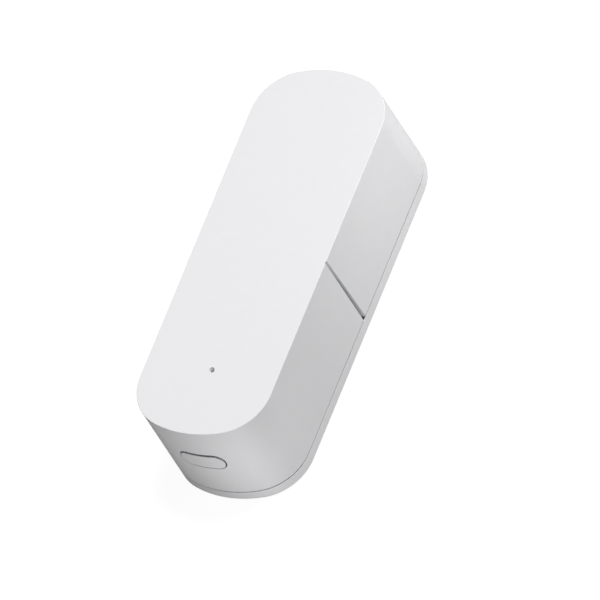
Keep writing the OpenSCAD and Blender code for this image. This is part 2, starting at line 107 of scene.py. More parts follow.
# Plan of the case: straight sides, corner arcs and end arcs
half_w = shell_high.x
half_l = shell_high.y
corner_r = 8.9
end_r = 20.3
corner_x = half_w - corner_r
corner_turn = math.acos(corner_x / (end_r - corner_r))
arc_y = half_l - end_r
corner_y = arc_y + (end_r - corner_r) * math.sin(corner_turn)

# Shell, cover and pad
wall = 1.4
top_round = 0.11
seam_round = 0.03
inner_round = 0.3
seam_gap = 0.16
seam_z = shell_z - seam_gap
ledge_fall = 0.28
ledge_run = 0.35
floor_t = 1.5
floor_z = rim_z + floor_t
rim_round = 0.22
lip_fit = 0.15
lip_inset = wall + lip_fit
lip_t = 0.9
lip_round = 0.15
pad_inset = 3.2
pad_gap = 0.2
pad_recess = 0.5
pad_round = 0.18

# Button: half length, half height, middle and rise of its flange, opening and cap, and how full their ends
# are, by quarters: lower and upper +X, then upper and lower -X. 2 is round.
Pill = namedtuple("Pill", "half high mid rise quarters")
PILL_FLANGE = Pill(half=4.85, high=2.45, mid=0, rise=0, quarters=(2, 2, 2, 2))
PILL_SLOT = Pill(half=4.43, high=2.13, mid=-0.33, rise=0.13, quarters=(2.2, 2.2, 1.8, 2.2))
PILL_CAP = Pill(half=4.17, high=1.74, mid=-0.43, rise=-0.19, quarters=(2.2, 1.9, 2.2, 2.2))
button_recess = 0.03
button_round = 0.06
slot_round = 0.03
flange_gap = 0.12
flange_t = 1.2
plunger_d = 2.6
plunger_edge = 0.15

# Indicator hole
led_hole_d = 1.04
led_bore_d = 0.66
led_cone_h = 0.33
led_round = 0.04

# Side groove, the notch at its foot and the pocket below that
groove_near = 0.3
groove_seam_w = 0.92
groove_top_w = 0.48
groove_seam_d = 1.0
groove_top_d = 0.18
notch_w = 0.7
notch_h = 0.6
notch_past = 0.1
pocket_h = 1.3
pocket_skin = 0.3
pocket_more = 0.3

# Inside of the shell
pilot_r = 1.05
pilot_l = 4.3
boss_r = 1.85
boss_edge = 0.15
shoulder_r = 2.65
pipe_r = 1.2
pipe_fit = 0.05
pipe_l = pipe_high.z - pipe_low.z
collar_t = 0.8
collar_edge = 0.2
tab_t = 1.1
rest_gap = 0.05
contact_wall = 1.2
ledge_w = 6
ledge_t = 1.1
ledge_gap = 1
ledge_curve = 0.3
ledge_y = far_y + contact_wall + ledge_gap
ledge_z = roof_z - tab_t - rest_gap

# Light pipe: its lower edge as steps in from the side and up from the end, and its upper edge
PIPE_FOOT = ((0.2, 0), (0.05, 0.06), (0, 0.2))
pipe_edge = 0.15

# Cells. The sleeve's fold goes by steps in from the side and along from the end, and so does the nub's tip.
# The nub's foot goes out from its side, and the steel ends by radius and height from their end of the can.
cell_r = (cell_high.z - cell_low.z) / 2
nub_r = 1.9
nub_h = 1
can_l = cell_high.y - cell_low.y - nub_h
SLEEVE_FOLD = ((0.7, 0), (0.3, 0.08), (0.08, 0.3), (0, 0.6))
fold_sink = 0.05
flat_fold = 1.5
nub_fold = 1.6
FLAT_END = ((3.7, 0.6), (3.7, 0.1), (3.4, 0.02), (2.6, 0.02), (2.4, 0.1))
CAP_STEP = ((3.6, -0.6), (3.6, -0.02), (2.3, 0))
NUB_FOOT = ((0.1, 0.1), (0, 0.25))
NUB_TIP = ((0, 0.25), (0.1, 0.06), (0.3, 0))

# Saddle ribs under the cells
cell_fit = 0.25
saddle_t = 1.2
saddle_pitch = 15
saddle_reach = cell_x + 2 * cell_r / 3

# Springs: thickness and reach of a wire's rounded tip, both in wires, and each spring's sizes
TIP_THICK = 0.6
TIP_PUSH = 0.2
coil_wire = 0.45
coil_base_r = 2.5
coil_tip_r = 1.4
coil_turns = 3
coil_l = 2.45
coil_gap = 0.05
whip_wire = 0.25
whip_r = 1.2
whip_turns = 8

# Vibration switch's cup: its rim, and its inner and outer bottom edges as steps in from the side and up
sleeve_t = 0.25
cup_rim = 0.06
CUP_INSIDE = ((0.3, 0), (0.08, 0.08), (0, 0.3))
CUP_OUTSIDE = ((0, 0.5), (0.15, 0.15), (0.5, 0))

# Screws: head, its dome as steps in from the side and up, its edge, thread, tip and cross recess
head_r = 1.7
head_h = 1.2
HEAD_DOME = ((0.5, 0), (0.18, 0.14), (0, 0.5))
head_edge = 0.1
screw_x = screw_high.x - head_r
shank_r = 1
root_r = 0.74
thread_pitch = 0.7
thread_start = 0.4
tip_l = 0.5
tip_in = 0.3
drive_w = 2
drive_t = 0.5
drive_h = 0.6


# Mesh helpers

# Distance in metres within which points are joined, and the angle over which an edge stays sharp
WELD = 1e-7
CREASE = math.radians(32)


def make_object(name, data):
    """New object for a mesh, lamp or camera, linked to the scene."""
    obj = bpy.data.objects.new(name, data)
    bpy.context.scene.collection.objects.link(obj)
    return obj


def tidy(mesh):
    """Join points that coincide and turn every face outwards."""
    bm = bmesh.new()
    bm.from_mesh(mesh)
    bmesh.ops.remove_doubles(bm, verts=bm.verts, dist=WELD)
    bmesh.ops.recalc_face_normals(bm, faces=bm.faces)
    if bm.calc_volume(signed=True) < 0:
        bmesh.ops.reverse_faces(bm, faces=bm.faces)
    bm.to_mesh(mesh)
    bm.free()
    return mesh


def loft(name, rings, cap_start=True):
    """Closed surface through rings of equally many points, given in millimetres."""
    n = len(rings[0])
    points = [Vector(p) * MM for ring in rings for p in ring]
    faces = []
    for k in range(len(rings) - 1):
        for i in range(n):
            j = (i + 1) % n
            faces.append((k * n + i, k * n + j, (k + 1) * n + j, (k + 1) * n + i))
    if cap_start:
        faces.append(tuple(reversed(range(n))))
    faces.append(tuple(range((len(rings) - 1) * n, len(rings) * n)))
    mesh = bpy.data.meshes.new(name)
    mesh.from_pydata(points, [], faces)
    return make_object(name, tidy(mesh))


def combine(target, tool, operation):
    """Cut or join target with tool, and delete tool."""
    modifier = target.modifiers.new("combine", "BOOLEAN")
    modifier.operation = operation
    modifier.solver = "EXACT"
    modifier.object = tool
    graph = bpy.context.evaluated_depsgraph_get()
    mesh = bpy.data.meshes.new_from_object(target.evaluated_get(graph))
    target.modifiers.clear()
    target.data = mesh
    bpy.data.objects.remove(tool)


def join(name, pieces):
    """One object from several closed ones that stay apart."""
    bm = bmesh.new()
    for piece in pieces:
        bm.from_mesh(piece.data)
        bpy.data.objects.remove(piece)
    mesh = bpy.data.meshes.new(name)
    bm.to_mesh(mesh)
    bm.free()
    return make_object(name, mesh)


def finish_piece(obj, body, slot, *nodes):
    """Smooth shading with sharp edges kept, the slot's material, the body and the nodes it stands for."""
    obj.data.shade_smooth()
    obj.data.set_sharp_from_angle(angle=CREASE)
    weighted = obj.modifiers.new("weighted normals", "WEIGHTED_NORMAL")
    weighted.keep_sharp = True
    obj.data.materials.clear()
    obj.data.materials.append(MATERIALS[slot])
    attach(obj, body)
    if nodes:
        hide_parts(*nodes)


def arc(centre, r, start, stop):
    """Points on an arc, both ends included."""
    steps = max(2, round(abs(stop - start) / ARC_STEP))
    turns = [start + (stop - start) * i / steps for i in range(steps + 1)]
    return [(centre[0] + r * math.cos(t), centre[1] + r * math.sin(t)) for t in turns]


def outline(inset):
    """Points round the case's plan, drawn in by inset."""
    half = []
    half += arc((corner_x, corner_y), corner_r - inset, 0, corner_turn)
    half += arc((0, arc_y), end_r - inset, corner_turn, math.pi - corner_turn)[1:]
    half += arc((-corner_x, corner_y), corner_r - inset, math.pi - corner_turn, math.pi)[1:]
    for i in range(1, SIDE_STEPS):
        half.append((inset - half_w, corner_y * (1 - 2 * i / SIDE_STEPS)))
    return half + [(-x, -y) for x, y in half]


def plan_loft(name, section):
    """Surface that carries a section of (inset, z) pairs round the case's plan."""
    return loft(name, [[(x, y, z) for x, y in outline(inset)] for inset, z in section])


def fillet(inset0, z0, inset1, z1, bulge_out):
    """Quarter round between two points of a section, as (inset, z) pairs, both ends included.
    bulge_out is True where it starts along the wall, and False where it ends along the wall."""
    pairs = []
    for i in range(FILLET_STEPS + 1):
        t = math.pi / 2 * i / FILLET_STEPS
        a, b = (1 - math.cos(t), math.sin(t)) if bulge_out else (math.sin(t), 1 - math.cos(t))
        pairs.append((inset0 + (inset1 - inset0) * a, z0 + (z1 - z0) * b))
    return pairs


def quarter_round(r):
    """Small quarter round, as pairs of what is left to go one way and what is gone the other way."""
    turns = [math.pi / 2 * i / RIM_STEPS for i in range(RIM_STEPS + 1)]
    return [(r * (1 - math.sin(t)), r * (1 - math.cos(t))) for t in turns]


def box(name, low, high):
    """Plain block between two corners, used only to cut or join."""
    (x0, y0, z0), (x1, y1, z1) = low, high
    return loft(name, [[(x0, y0, z), (x1, y0, z), (x1, y1, z), (x0, y1, z)] for z in (z0, z1)])


def at(x, y, z):
    """Place in millimetres."""
    return Matrix.Translation((x, y, z))


def lying(x, y, z, towards):
    """Place with the local Z along +Y or -Y."""
    return at(x, y, z) @ Matrix.Rotation(-towards * math.pi / 2, 4, "X")


def lathe(name, profile, place, steps=ROD_STEPS):
    """Surface turned about Z from (radius, height) pairs, then put in place by a matrix in millimetres."""
    turns = [2 * math.pi * i / steps for i in range(steps)]
    rings = []
    for r, z in profile:
        rings.append([tuple(place @ Vector((r * math.cos(t), r * math.sin(t), z))) for t in turns])
    return loft(name, rings)


def coil(name, r0, r1, rise, turns, wire, place):
    """Spring of round wire up the local Z, its radius easing from r0 to r1 and its two ends rounded off."""
    steps = turns * WIRE_STEPS
    path = [(0, TIP_THICK)] + [(i / steps, 1) for i in range(steps + 1)] + [(1, TIP_THICK)]
    rings = []
    for t, thick in path:
        turn = 2 * math.pi * turns * t
        out = Vector((math.cos(turn), math.sin(turn), 0))
        along = Vector((-math.sin(turn), math.cos(turn), 0))
        push = 0 if thick == 1 else TIP_PUSH * wire * (1 if t else -1)
        centre = out * (r0 + (r1 - r0) * t) + along * push + Vector((0, 0, rise * t))
        ring = []
        for k in range(WIRE_SIDES):
            b = 2 * math.pi * k / WIRE_SIDES
            spoke = out * math.cos(b) + Vector((0, 0, math.sin(b)))
            ring.append(tuple(place @ (centre + spoke * (wire / 2 * thick))))
        rings.append(ring)
    return loft(name, rings)


def end_wall(x):
    """Y of the outer wall at the button's end."""
    return -(arc_y + math.sqrt(end_r ** 2 - x ** 2))


def pill_half(straight, r, first, second):
    """Half of a pill as (x, z) pairs: its +X end from the bottom up, in two fullnesses, and its top run."""
    pairs = []
    for i in range(PILL_STEPS):
        t = math.pi * i / PILL_STEPS
        full = first if math.cos(t) > 0 else second
        up = math.copysign(abs(math.cos(t)) ** (2 / full), -math.cos(t))
        pairs.append((straight + r * math.sin(t) ** (2 / full), r * up))
    return pairs + [(straight - 2 * straight * i / PILL_STEPS, r) for i in range(PILL_STEPS)]


def pill_ring(pill, grow, depth, flat=False):
    """Pill outline at the button, grown all round, at a depth behind the curved wall or behind its tip."""
    straight = pill.half - pill.high
    r = max(pill.high + grow, 0)
    pairs = pill_half(straight, r, *pill.quarters[:2])
    pairs += [(-x, -z) for x, z in pill_half(straight, r, *pill.quarters[2:])]
    ring = []
    for x, z in pairs:
        x += pill.mid
        ring.append((x, end_wall(0 if flat else x) + depth, button_z + z + pill.rise))
    return ring


# Materials

# Heights for full and for no painted shade in hollows, and the samples taken to find the hollows
full_shade_z = top_z - 7
no_shade_z = top_z - 0.3
HOLLOW_SAMPLES = 8

# Grain: its detail, the part of its range that shows, how much larger the coarse one is, how far the fine
# one swings the roughness and how strong its bump is
GRAIN_DETAIL = 3
RAMP_ENDS = (0.3, 0.7)
COARSE = 12
ROUGHNESS_SWING = 0.04
BUMP_STRENGTH = 0.35

# Board: width, patch size and height of its tracks, the levels over which track, patch and face count, and
# its lacquer. The wave texture turns by WAVE_TURN radians over a length of one divided by its scale.
track_w = 0.2
track_patch = 3
track_h = 0.02
TRACK_LEVEL = 0.55
PATCH_LEVEL = 0.7
FACE_LEVEL = 0.9
WAVE_TURN = 20
TRACK_STRENGTH = 0.5
LACQUER_GRAIN = 0.5
LACQUER_SPREAD = 0.12
LACQUER_ROUGHNESS = (0.3, 0.4)

# Light pipe
ACRYLIC_CLEAR = 0.85
ACRYLIC_IOR = 1.49
ACRYLIC_GRAIN = 3
ACRYLIC_ROUGHNESS = (0.1, 0.2)
ACRYLIC_TINTS = ((0.86, 0.88, 0.88), (0.92, 0.93, 0.93))

# Sockets of a mix node that mixes colours
MIX_SHARE = 0
MIX_FIRST = 6
MIX_SECOND = 7
MIX_COLOUR = 2


def new_material(name):
    """Material with a Principled shader, its nodes and links."""
    material = bpy.data.materials.new(name)
    material.use_nodes = True
    nodes = material.node_tree.nodes
    return material, nodes, material.node_tree.links, nodes["Principled BSDF"]


def grain(nodes, links, scale):
    """Noise in the object's own millimetres: scale is in grains per millimetre."""
    where = nodes.new("ShaderNodeTexCoord")
    noise = nodes.new("ShaderNodeTexNoise")
    noise.inputs["Scale"].default_value = scale / MM
    noise.inputs["Detail"].default_value = GRAIN_DETAIL
    links.new(where.outputs["Object"], noise.inputs["Vector"])
    return noise.outputs["Fac"]


def ramp(nodes, links, source, low, high):
    """Map a grain's middle range to two colours."""
    node = nodes.new("ShaderNodeValToRGB")
    for element, position, colour in zip(node.color_ramp.elements, RAMP_ENDS, (low, high)):
        element.position = position
        element.color = (*colour, 1)
    links.new(source, node.inputs["Fac"])
    return node.outputs["Color"]


def level_ramp(nodes, links, source, low, high):
    """Map a grain's middle range to two levels."""
    return ramp(nodes, links, source, (low,) * 3, (high,) * 3)


def wander(colour, spread):
    """Darkest and lightest of a colour that wanders by spread."""
    return tuple(c * (1 - spread) for c in colour), tuple(min(c * (1 + spread), 1) for c in colour)


def blend_values(nodes, links, operation, first, second):
    """Math node on two sockets, or on a socket and a number."""
    node = nodes.new("ShaderNodeMath")
    node.operation = operation
    links.new(first, node.inputs[0])
    if isinstance(second, (int, float)):
        node.inputs[1].default_value = second
    else:
        links.new(second, node.inputs[1])
    return node.outputs[0]


def mix_colours(nodes, links, share, first, second):
    """Mix by share of a colour socket and another, or of a socket and a plain colour."""
    mix = nodes.new("ShaderNodeMix")
    mix.data_type = "RGBA"
    links.new(share, mix.inputs[MIX_SHARE])
    links.new(first, mix.inputs[MIX_FIRST])
    if isinstance(second, tuple):
        mix.inputs[MIX_SECOND].default_value = (*second, 1)
    else:
        links.new(second, mix.inputs[MIX_SECOND])
    return mix.outputs[MIX_COLOUR]


def emboss(nodes, links, shader, height, strength, depth):
    """Bump the shader's surface by a height socket, depth in millimetres."""
    relief = nodes.new("ShaderNodeBump")
    relief.inputs["Strength"].default_value = strength
    relief.inputs["Distance"].default_value = depth * MM
    links.new(height, relief.inputs["Height"])
    links.new(relief.outputs["Normal"], shader.inputs["Normal"])


def painted_hollow_shade(nodes, links, colour, reach, alone):
    """The colour with painted shade: darker in hollows narrower than reach, but not near the top.
    Alone counts only the hollows of the piece itself."""
    near = nodes.new("ShaderNodeAmbientOcclusion")
    near.only_local = alone
    near.samples = HOLLOW_SAMPLES
    near.inputs["Distance"].default_value = reach * MM
    links.new(colour, near.inputs["Color"])
    where = nodes.new("ShaderNodeTexCoord")
    part = nodes.new("ShaderNodeSeparateXYZ")
    links.new(where.outputs["Object"], part.inputs["Vector"])
    share = nodes.new("ShaderNodeMapRange")
    ends = {"From Min": full_shade_z * MM, "From Max": no_shade_z * MM, "To Min": 1, "To Max": 0}
    for end, value in ends.items():
        share.inputs[end].default_value = value
    links.new(part.outputs["Z"], share.inputs["Value"])
    return mix_colours(nodes, links, share.outputs["Result"], colour, near.outputs["Color"])


def surfaced(name, colour, spread, roughness, grain_scale, bump, metallic=0.0, specular=0.5, reach=0,
             alone=True):
    """Solid finish: wandering colour, varying roughness, a fine bump and, with a reach, painted shade in
    hollows.
    """
    material, nodes, links, shader = new_material(name)
    coarse = grain(nodes, links, grain_scale / COARSE)
    fine = grain(nodes, links, grain_scale)
    finish = ramp(nodes, links, coarse, *wander(colour, spread))
    if reach:
        # Painted shade: the colour is darkened in narrow hollows, less towards the top
        finish = painted_hollow_shade(nodes, links, finish, reach, alone)
    links.new(finish, shader.inputs["Base Color"])
    rough = level_ramp(nodes, links, fine, roughness - ROUGHNESS_SWING, roughness + ROUGHNESS_SWING)
    links.new(rough, shader.inputs["Roughness"])
    emboss(nodes, links, shader, fine, BUMP_STRENGTH, bump)
    shader.inputs["Metallic"].default_value = metallic
    shader.inputs["Specular IOR Level"].default_value = specular
    return material


def tracks(nodes, links):
    """Patches of parallel tracks, along or across, on the board's two faces: 1 on a track and 0 off it."""
    where = nodes.new("ShaderNodeTexCoord")
    patch = nodes.new("ShaderNodeTexVoronoi")
    patch.distance = "CHEBYCHEV"
    patch.inputs["Scale"].default_value = 1 / (track_patch * MM)
    links.new(where.outputs["Object"], patch.inputs["Vector"])
    pick = nodes.new("ShaderNodeSeparateColor")
    links.new(patch.outputs["Color"], pick.inputs["Color"])
    lines = []
    for channel, axis in (("Red", "X"), ("Green", "Y")):
        wave = nodes.new("ShaderNodeTexWave")
        wave.bands_direction = axis
        wave.inputs["Scale"].default_value = math.pi / (WAVE_TURN * track_w * MM)
        links.new(where.outputs["Object"], wave.inputs["Vector"])
        line = blend_values(nodes, links, "GREATER_THAN", wave.outputs["Fac"], TRACK_LEVEL)
        chosen = blend_values(nodes, links, "GREATER_THAN", pick.outputs[channel], PATCH_LEVEL)
        lines.append(blend_values(nodes, links, "MULTIPLY", line, chosen))
    facing = nodes.new("ShaderNodeSeparateXYZ")
    links.new(where.outputs["Normal"], facing.inputs["Vector"])
    tilt = nodes.new("ShaderNodeMath")
    tilt.operation = "ABSOLUTE"
    links.new(facing.outputs["Z"], tilt.inputs[0])
    face = blend_values(nodes, links, "GREATER_THAN", tilt.outputs[0], FACE_LEVEL)
    return blend_values(nodes, links, "MULTIPLY", blend_values(nodes, links, "MAXIMUM", *lines), face)


def tracked_board(name, mask, track):
    """Lacquered board whose tracks show through the lacquer."""
    material, nodes, links, shader = new_material(name)
    pattern = tracks(nodes, links)
    haze = grain(nodes, links, LACQUER_GRAIN)
    lacquer = ramp(nodes, links, haze, *wander(mask, LACQUER_SPREAD))
    links.new(mix_colours(nodes, links, pattern, lacquer, track), shader.inputs["Base Color"])
    links.new(level_ramp(nodes, links, haze, *LACQUER_ROUGHNESS), shader.inputs["Roughness"])
    emboss(nodes, links, shader, pattern, TRACK_STRENGTH, track_h)
    return material


def clear_plastic(name):
    """Clear acrylic with a slight haze."""
    material, nodes, links, shader = new_material(name)
    shader.inputs["Transmission Weight"].default_value = ACRYLIC_CLEAR
    shader.inputs["IOR"].default_value = ACRYLIC_IOR
    haze = grain(nodes, links, ACRYLIC_GRAIN)
    links.new(level_ramp(nodes, links, haze, *ACRYLIC_ROUGHNESS), shader.inputs["Roughness"])
    links.new(ramp(nodes, links, haze, *ACRYLIC_TINTS), shader.inputs["Base Color"])
    return material


# Grain scale is in grains per millimetre, bump and reach are in millimetres
# Reach sets how narrow a hollow must be to get painted shade in its colour
FINISHES = {
    "shell_white": dict(colour=(0.845, 0.845, 0.858), spread=0.006, roughness=0.62,
                        grain_scale=9, bump=0.004, specular=0.1, reach=0.7),
    "button_white": dict(colour=(0.84, 0.84, 0.852), spread=0.006, roughness=0.6,
                         grain_scale=9, bump=0.004, specular=0.1, reach=0.9, alone=False),
    "cover_white": dict(colour=(0.85, 0.85, 0.862), spread=0.006, roughness=0.62,
                        grain_scale=9, bump=0.004, specular=0.1, reach=0.9),
    "foam_adhesive": dict(colour=(0.6, 0.61, 0.63), spread=0.05, roughness=0.9,
                          grain_scale=5, bump=0.05, specular=0.2),
    "chassis_grey": dict(colour=(0.62, 0.63, 0.65), spread=0.015, roughness=0.55,
                         grain_scale=8, bump=0.006, specular=0.4),
    "screw_steel": dict(colour=(0.62, 0.63, 0.66), spread=0.05, roughness=0.28,
                        grain_scale=12, bump=0.004, metallic=1.0),
    "can_tin": dict(colour=(0.66, 0.67, 0.68), spread=0.04, roughness=0.3,
                    grain_scale=10, bump=0.004, metallic=1.0),
    "chip_black": dict(colour=(0.025, 0.025, 0.028), spread=0.15, roughness=0.55,
                       grain_scale=10, bump=0.008),
    "trace_copper": dict(colour=(0.72, 0.43, 0.24), spread=0.06, roughness=0.35,
                         grain_scale=10, bump=0.004, metallic=1.0),
    "led_epoxy": dict(colour=(0.85, 0.78, 0.45), spread=0.04, roughness=0.25,
                      grain_scale=4, bump=0.004),
    "chip_ceramic": dict(colour=(0.42, 0.33, 0.22), spread=0.12, roughness=0.6,
                         grain_scale=10, bump=0.008),
    "sensor_can": dict(colour=(0.7, 0.71, 0.73), spread=0.03, roughness=0.25,
                       grain_scale=10, bump=0.003, metallic=1.0),
    "gold_wire": dict(colour=(0.85, 0.66, 0.32), spread=0.04, roughness=0.25,
                      grain_scale=12, bump=0.003, metallic=1.0),
    "cell_sleeve": dict(colour=(0.16, 0.2, 0.27), spread=0.06, roughness=0.35,
                        grain_scale=4, bump=0.004),
    "contact_nickel": dict(colour=(0.74, 0.72, 0.69), spread=0.04, roughness=0.28,
                           grain_scale=12, bump=0.004, metallic=1.0),
}
MATERIALS = {name: surfaced(name, **finish) for name, finish in FINISHES.items()}
MATERIALS["clear_acrylic"] = clear_plastic("clear_acrylic")
MATERIALS["board_green"] = tracked_board("board_green", mask=(0.02, 0.15, 0.065), track=(0.05, 0.24, 0.1))

for part in frame["record"]["subparts"]:
    node = frame["nodes"][part["node"]]
    node.data.materials.clear()
    node.data.materials.append(MATERIALS[part["material_slot"]])


# Edge rounds of the inner nodes, in millimetres

EDGE_ROUNDS = {
    "chassis": 0.12, "main_board": 0.06, "shield_can": 0.15, "crystal": 0.12, "radio_chip": 0.06,
    "tact_switch": 0.08, "tact_stem": 0.08, "vibration_base": 0.08, "status_led": 0.08,
    "board_passives": 0.05, "contact_positive": 0.06, "contact_negative": 0.06, "contact_bridge": 0.06,
}
EDGE_SEGMENTS = 2
EDGE_ANGLE = math.radians(40)
FLAT_ANGLE = math.radians(1)
corner_weld = 0.002


def round_edges(node, width):
    """Join the node's split corners, merge its flat faces and round its sharp edges, all by modifiers."""
    weld = node.modifiers.new("weld", "WELD")
    weld.merge_threshold = corner_weld * MM
    flat = node.modifiers.new("flat faces", "DECIMATE")
    flat.decimate_type = "DISSOLVE"
    flat.angle_limit = FLAT_ANGLE
    edge = node.modifiers.new("edge round", "BEVEL")
    edge.width = width * MM
    edge.segments = EDGE_SEGMENTS
    edge.limit_method = "ANGLE"
    edge.angle_limit = EDGE_ANGLE
    node.modifiers.new("weighted normals", "WEIGHTED_NORMAL")


for name, width in EDGE_ROUNDS.items():
    round_edges(frame["nodes"][name], width)


# Housing

def slot_cutter():
    """Opening for the button, with a small round on its mouth that follows the curved wall."""
    mouth = 2 * slot_round
    rings = [pill_ring(PILL_SLOT, mouth, -past, flat=True), pill_ring(PILL_SLOT, mouth, -slot_round)]
    for grow, depth in quarter_round(slot_round):
        rings.append(pill_ring(PILL_SLOT, grow, depth - skin))
    rings.append(pill_ring(PILL_SLOT, 0, wall + 2 * past, flat=True))
    return loft("slot", rings)


def led_cutter():
    """Indicator hole: a narrow bore that opens in a cone with a rounded mouth."""
    r = led_hole_d / 2
    profile = [(led_bore_d / 2, ceiling_z - past), (led_bore_d / 2, top_z - led_cone_h)]
    for below, out in quarter_round(led_round):
        profile.append((r + out, top_z - below + skin))
    profile.append((r + 2 * led_round, top_z + led_round))
    return lathe("hole", profile, at(0, led_y, 0))


def groove_cutter():
    """Side groove: a steep wall and a sloping one that meet at its foot, widest and deepest at the seam."""
    reach = 2 * past
    rings = []
    for z in (shell_z - reach, top_z + reach):
        t = (z - shell_z) / (top_z - shell_z)
        w = groove_seam_w + (groove_top_w - groove_seam_w) * t
        d = groove_seam_d + (groove_top_d - groove_seam_d) * t
        section = [(-d, 0), (reach, 0), (reach, w), (0, w)]
        rings.append([(half_w + x, y - groove_near, z) for x, y in section])
    return loft("groove", rings)


def notch_cutter():
    """Notch at the groove's foot, through the wall."""
    low = (half_w - wall - notch_past, -groove_near, shell_z - past)
    high = (half_w + past, notch_w - groove_near, shell_z + notch_h)
    return box("notch", low, high)


def screw_boss(x):
    """Boss with a shoulder on the board, a spigot through it and a blind pilot hole."""
    profile = [(pilot_r, roof_z + pilot_l), (pilot_r, roof_z)]
    profile += [(boss_r - boss_edge, roof_z), (boss_r, roof_z + boss_edge), (boss_r, board_z)]
    profile += [(shoulder_r, board_z), (shoulder_r, ceiling_z + sink)]
    return lathe("boss", profile, at(x, screw_y, 0))


def pipe_collar():
    """Collar that holds the light pipe, still solid."""
    r = pipe_r + pipe_fit + collar_t
    low = ceiling_z - pipe_l
    profile = [(r - collar_edge, low), (r, low + collar_edge), (r, ceiling_z + sink)]
    return lathe("collar", profile, at(0, led_y, 0))


def pipe_cutter():
    """Hole in the collar for the light pipe."""
    r = pipe_r + pipe_fit
    return lathe("pipe_hole", [(r, ceiling_z - pipe_l - past), (r, ceiling_z)], at(0, led_y, 0))


def far_ledge():
    """Ledge under the chassis's tongue, sunk into the far wall, which curves away across it."""
    low = (-ledge_w / 2, ledge_y, ledge_z - ledge_t)
    high = (ledge_w / 2, half_l - wall / 2 - ledge_curve, ledge_z)
    return box("ledge", low, high)


def housing_shell():
    """Top and walls with the bosses, collar and ledge inside, and every opening cut."""
    section = [(wall + inner_round, ceiling_z)]
    section += fillet(wall + inner_round, ceiling_z, wall, ceiling_z - inner_round, False)[1:]
    section += [(wall, shell_z), (seam_round, shell_z)]
    section += fillet(seam_round, shell_z, 0, shell_z + seam_round, False)[1:]
    section += fillet(0, top_z - top_round, top_round, top_z, True)
    shell = plan_loft("housing_shell", section)
    for piece in (screw_boss(-screw_x), screw_boss(screw_x), pipe_collar(), far_ledge()):
        combine(shell, piece, "UNION")
    for cutter in (pipe_cutter, slot_cutter, led_cutter, groove_cutter, notch_cutter):
        combine(shell, cutter(), "DIFFERENCE")
    return shell


finish_piece(housing_shell(), "housing", "shell_white", "front_shell")


# Back cover and pad

def saddle_rib(y):
    """Rib across the cover with a hollow for each cell."""
    r = cell_r + cell_fit
    inner = -math.asin((cell_z - lip_z) / r)
    outer = -math.pi + math.acos((saddle_reach - cell_x) / r)
    scoop = arc((cell_x, cell_z), r, -math.pi - inner, -math.pi - outer)
    half = [(saddle_reach, floor_z - sink)] + scoop[::-1]
    section = half + [(-x, z) for x, z in reversed(half)]
    return loft("rib", [[(x, y + dy, z) for x, z in section] for dy in (-saddle_t / 2, saddle_t / 2)])


def notch_pocket():
    """The notch's foot, sunk into the cover's rim behind a thin skin."""
    low = (half_w - lip_inset, -groove_near, seam_z - pocket_h)
    high = (half_w - pocket_skin, notch_w - groove_near + pocket_more, seam_z + past)
    return box("pocket", low, high)


def cover_tray():
    """Floor with the pad's recess, rim, ledge at the seam, lip and saddle ribs."""
    lip_in = lip_inset + lip_t
    section = [(pad_inset - pad_gap, rim_z + pad_recess), (pad_inset - pad_gap, rim_z)]
    section += fillet(rim_round, rim_z, 0, rim_z + rim_round, False)
    section += fillet(0, seam_z - seam_round, seam_round, seam_z, True)
    section += [(seam_round + ledge_run, seam_z - ledge_fall), (lip_inset, seam_z - ledge_fall)]
    section += fillet(lip_inset, lip_z - lip_round, lip_inset + lip_round, lip_z, True)
    section += fillet(lip_in - lip_round, lip_z, lip_in, lip_z - lip_round, False)
    section += fillet(lip_in, floor_z + inner_round, lip_in + inner_round, floor_z, True)
    tray = plan_loft("cover_tray", section)
    for i in (-1, 0, 1):
        combine(tray, saddle_rib((near_y + far_y) / 2 + i * saddle_pitch), "UNION")
    combine(tray, notch_pocket(), "DIFFERENCE")
    return tray


def foam_pad():
    """Pad with rounded edges, in the cover's recess."""
    low, high = pad_low.z, pad_high.z
    section = fillet(pad_inset + pad_round, low, pad_inset, low + pad_round, False)
    section += fillet(pad_inset, high - pad_round, pad_inset + pad_round, high, True)
    return plan_loft("foam_pad", section)


finish_piece(cover_tray(), "base", "cover_white", "back_cover")
finish_piece(foam_pad(), "base", "foam_adhesive", "adhesive_pad")


# Button

def button_cap():
    """Cap with a rounded rim, its flange behind the wall and the plunger."""
    face = PILL_CAP.high - button_round
    flange = wall + flange_gap
    rings = []
    for i in range(FACE_RINGS + 1):
        rings.append(pill_ring(PILL_CAP, face * i / FACE_RINGS - PILL_CAP.high, button_recess))
    for shrink, depth in quarter_round(button_round)[1:]:
        rings.append(pill_ring(PILL_CAP, -shrink, button_recess + depth))
    rings.append(pill_ring(PILL_CAP, 0, flange))
    rings.append(pill_ring(PILL_FLANGE, 0, flange))
    rings.append(pill_ring(PILL_FLANGE, 0, flange + flange_t, flat=True))
    cap = loft("button_cap", rings, cap_start=False)
    r = plunger_d / 2
    front = end_wall(0) + wall + flange_t / 2
    length = button_high.y - front
    profile = [(r, 0), (r, length - plunger_edge), (r - plunger_edge, length)]
    combine(cap, lathe("plunger", profile, lying(0, front, button_z, 1), SMALL_STEPS), "UNION")
    return cap


finish_piece(button_cap(), "button", "button_white", "side_button")


# Light pipe

def pipe_rod():
    """Clear rod with its lower edge rounded."""
    low, high = pipe_low.z, pipe_high.z
    profile = [(pipe_r - inset, low + up) for inset, up in PIPE_FOOT]
    profile += [(pipe_r, high - pipe_edge), (pipe_r - pipe_edge, high)]
    return lathe("pipe_rod", profile, at(0, led_y, 0))


finish_piece(pipe_rod(), "housing", "clear_acrylic", "light_pipe")


# Cells

